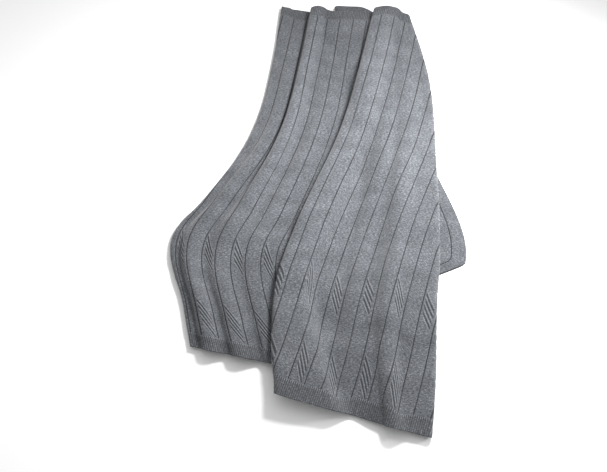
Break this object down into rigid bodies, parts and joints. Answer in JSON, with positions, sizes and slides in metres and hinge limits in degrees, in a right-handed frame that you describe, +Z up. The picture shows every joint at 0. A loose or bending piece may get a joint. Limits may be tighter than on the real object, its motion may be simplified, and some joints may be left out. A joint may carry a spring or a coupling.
{
  "type": "knitted throw blanket",
  "caption": "Fine-knit grey throw laid out on a floor in long soft folds, with slim panels, slanted knit motifs near one end and ribbed ends.",
  "frame": {"origin": "middle of the laid blanket's outline, on the floor it lies on", "axes": "+Z up; +Y along the knitted panels, from the end with the motifs to the far end; +X across the panels, to the right"},
  "size_m": [0.7667, 1.542, 0.0597],
  "materials": {
    "knit": "soft matt acrylic knit, grey melange"
  },
  "bodies": {
    "root": {"blanket": "knit"}
  },
  "joints": []
}
